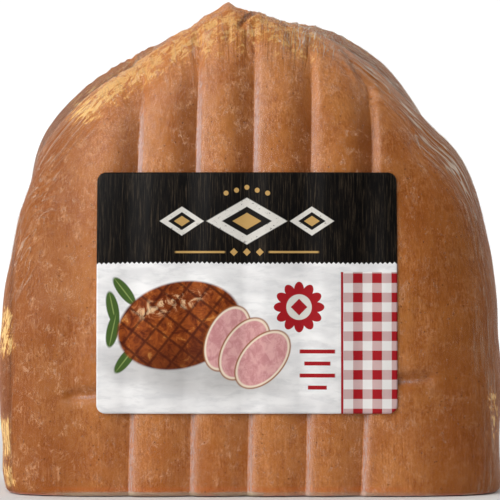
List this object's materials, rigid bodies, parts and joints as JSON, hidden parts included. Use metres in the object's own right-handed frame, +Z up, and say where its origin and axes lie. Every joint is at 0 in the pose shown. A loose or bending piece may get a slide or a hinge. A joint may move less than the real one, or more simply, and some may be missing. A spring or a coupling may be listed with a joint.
{
  "type": "vacuum-packed half ham",
  "caption": "Half of a smoked boneless ham, tightly packed in clear shrink film, standing upright on its flat cut face with a rectangular label on the front.",
  "frame": {"origin": "in the flat cut face that the ham stands on, below the middle of the ham", "axes": "+Z up from the cut face towards the gathered end, +X to the right of someone who reads the label, +Y from the labelled face to the back"},
  "size_m": [0.2001, 0.1124, 0.1925],
  "materials": {
    "filmed_ham": "smoked brown rind under clear glossy shrink film",
    "label_paper": "coated printed paper"
  },
  "bodies": {
    "root": {"ham_in_film": "filmed_ham", "label": "label_paper"}
  },
  "joints": []
}
